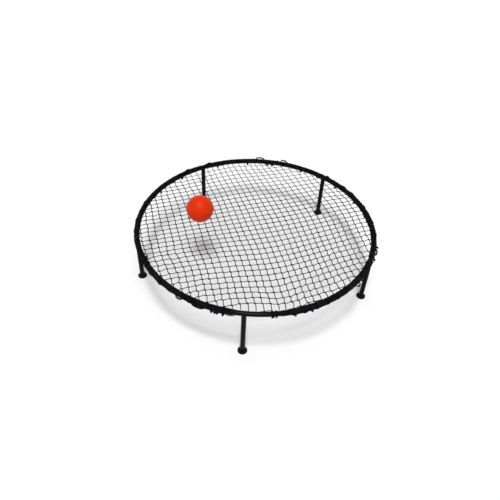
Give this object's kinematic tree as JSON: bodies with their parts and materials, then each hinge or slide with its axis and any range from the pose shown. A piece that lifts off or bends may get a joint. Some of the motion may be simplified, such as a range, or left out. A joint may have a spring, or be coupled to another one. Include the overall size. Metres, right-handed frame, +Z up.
{
  "type": "roundnet set",
  "caption": "Low round net stretched over a sectional black tube ring on push-on legs with flared feet, with a hollow ball resting on the net.",
  "frame": {"origin": "on the floor, under the centre of the ring", "axes": "+Z up; -Y towards the front leg, +X to the right seen from the front"},
  "size_m": [0.9225, 0.933, 0.3082],
  "materials": {
    "black_tube": "satin",
    "foot_rubber": "matte",
    "net_cord": "matte",
    "ball_skin": "matte",
    "valve_rubber": "matte"
  },
  "bodies": {
    "frame": {"tee_front": "black_tube", "tee_right": "black_tube", "tee_back_right": "black_tube", "tee_back_left": "black_tube", "tee_left": "black_tube", "rim_tube_front_right": "black_tube", "rim_tube_back_right": "black_tube", "rim_tube_back": "black_tube", "rim_tube_back_left": "black_tube", "rim_tube_front_left": "black_tube", "net": "net_cord", "net_edge_front_right": "net_cord", "net_edge_back_right": "net_cord", "net_edge_back": "net_cord", "net_edge_back_left": "net_cord", "net_edge_front_left": "net_cord", "edge_cord": "net_cord", "net_lashings": "net_cord", "net_loops": "net_cord"},
    "leg_front": {"leg_front": "black_tube", "foot_front": "foot_rubber"},
    "leg_right": {"leg_right": "black_tube", "foot_right": "foot_rubber"},
    "leg_back_right": {"leg_back_right": "black_tube", "foot_back_right": "foot_rubber"},
    "leg_back_left": {"leg_back_left": "black_tube", "foot_back_left": "foot_rubber"},
    "leg_left": {"leg_left": "black_tube", "foot_left": "foot_rubber"},
    "ball": {"ball_shell": "ball_skin", "ball_valve": "valve_rubber"}
  },
  "joints": [
    {"name": "leg_front_pull", "type": "slide", "parent": "frame", "child": "leg_front", "axis": [0, 0, -1], "range_m": [0, 0.045]},
    {"name": "leg_right_pull", "type": "slide", "parent": "frame", "child": "leg_right", "axis": [0, 0, -1], "range_m": [0, 0.045]},
    {"name": "leg_back_right_pull", "type": "slide", "parent": "frame", "child": "leg_back_right", "axis": [0, 0, -1], "range_m": [0, 0.045]},
    {"name": "leg_back_left_pull", "type": "slide", "parent": "frame", "child": "leg_back_left", "axis": [0, 0, -1], "range_m": [0, 0.045]},
    {"name": "leg_left_pull", "type": "slide", "parent": "frame", "child": "leg_left", "axis": [0, 0, -1], "range_m": [0, 0.045]},
    {"name": "ball_lift", "type": "slide", "parent": "frame", "child": "ball", "axis": [0, 0, 1], "range_m": [0, 0.3]}
  ]
}
